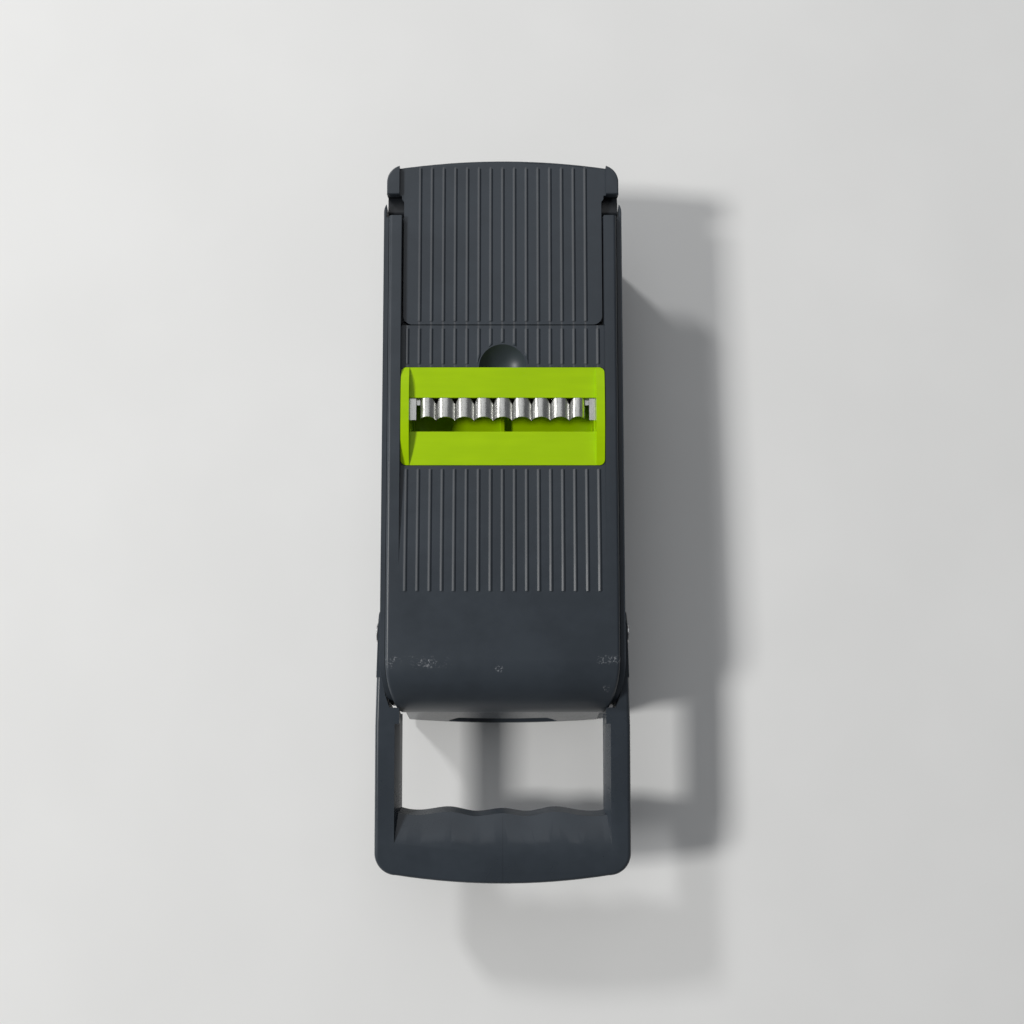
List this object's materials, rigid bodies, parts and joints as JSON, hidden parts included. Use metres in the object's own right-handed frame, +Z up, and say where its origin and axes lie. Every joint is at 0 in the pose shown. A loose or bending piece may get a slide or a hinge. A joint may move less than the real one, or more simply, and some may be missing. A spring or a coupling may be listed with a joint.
{
  "type": "mandoline slicer",
  "caption": "Box-shaped mandoline slicer: ribbed sloping deck, drop-in crinkle blade insert, storage lid, folding U-shaped handle and catch drawer.",
  "frame": {"origin": "on the table, below the middle of the overall length and width", "axes": "+X across the body, +Y from the handle to the far lid end, +Z up"},
  "size_m": [0.1168, 0.334, 0.06],
  "materials": {
    "body_plastic": "satin moulded slate-grey plastic",
    "insert_plastic": "glossy lime-green plastic",
    "blade_steel": "ground stainless steel",
    "pin_steel": "turned stainless steel",
    "screw_steel": "plated steel",
    "tray_plastic": "satin moulded grey plastic",
    "washer_plastic": "black nylon",
    "foot_rubber": "black rubber"
  },
  "bodies": {
    "body": {"base_housing": "body_plastic", "rubber_feet": "foot_rubber", "slicing_deck": "body_plastic", "deck_screws": "screw_steel", "storage_well": "body_plastic", "right_pivot_pin": "pin_steel", "left_pivot_pin": "pin_steel", "pivot_washers": "washer_plastic", "retaining_clips": "pin_steel"},
    "handle": {"handle_frame": "body_plastic", "handle_cover": "body_plastic", "handle_screws": "screw_steel"},
    "lid": {"storage_lid": "body_plastic", "lid_hinge_pins": "pin_steel"},
    "insert": {"insert_frame": "insert_plastic", "crinkle_blade": "blade_steel", "blade_rivets": "pin_steel", "slice_guide": "insert_plastic"},
    "drawer": {"drawer_tray": "tray_plastic", "drawer_front": "body_plastic", "drawer_screws": "screw_steel"}
  },
  "joints": [
    {"name": "handle_fold", "type": "hinge", "parent": "body", "child": "handle", "pos_m": [0, -0.054, 0.0435], "axis": [-1, 0, 0], "range_deg": [0, 100]},
    {"name": "lid_swing", "type": "hinge", "parent": "body", "child": "lid", "pos_m": [0, 0.14324, 0.04662], "axis": [1, 0, 0], "range_deg": [-70, 0]},
    {"name": "insert_lift", "type": "slide", "parent": "body", "child": "insert", "axis": [0, 0.026, 0.9997], "range_m": [0, 0.035]},
    {"name": "drawer_slide", "type": "slide", "parent": "body", "child": "drawer", "axis": [0, -1, 0], "range_m": [0, 0.15]}
  ]
}
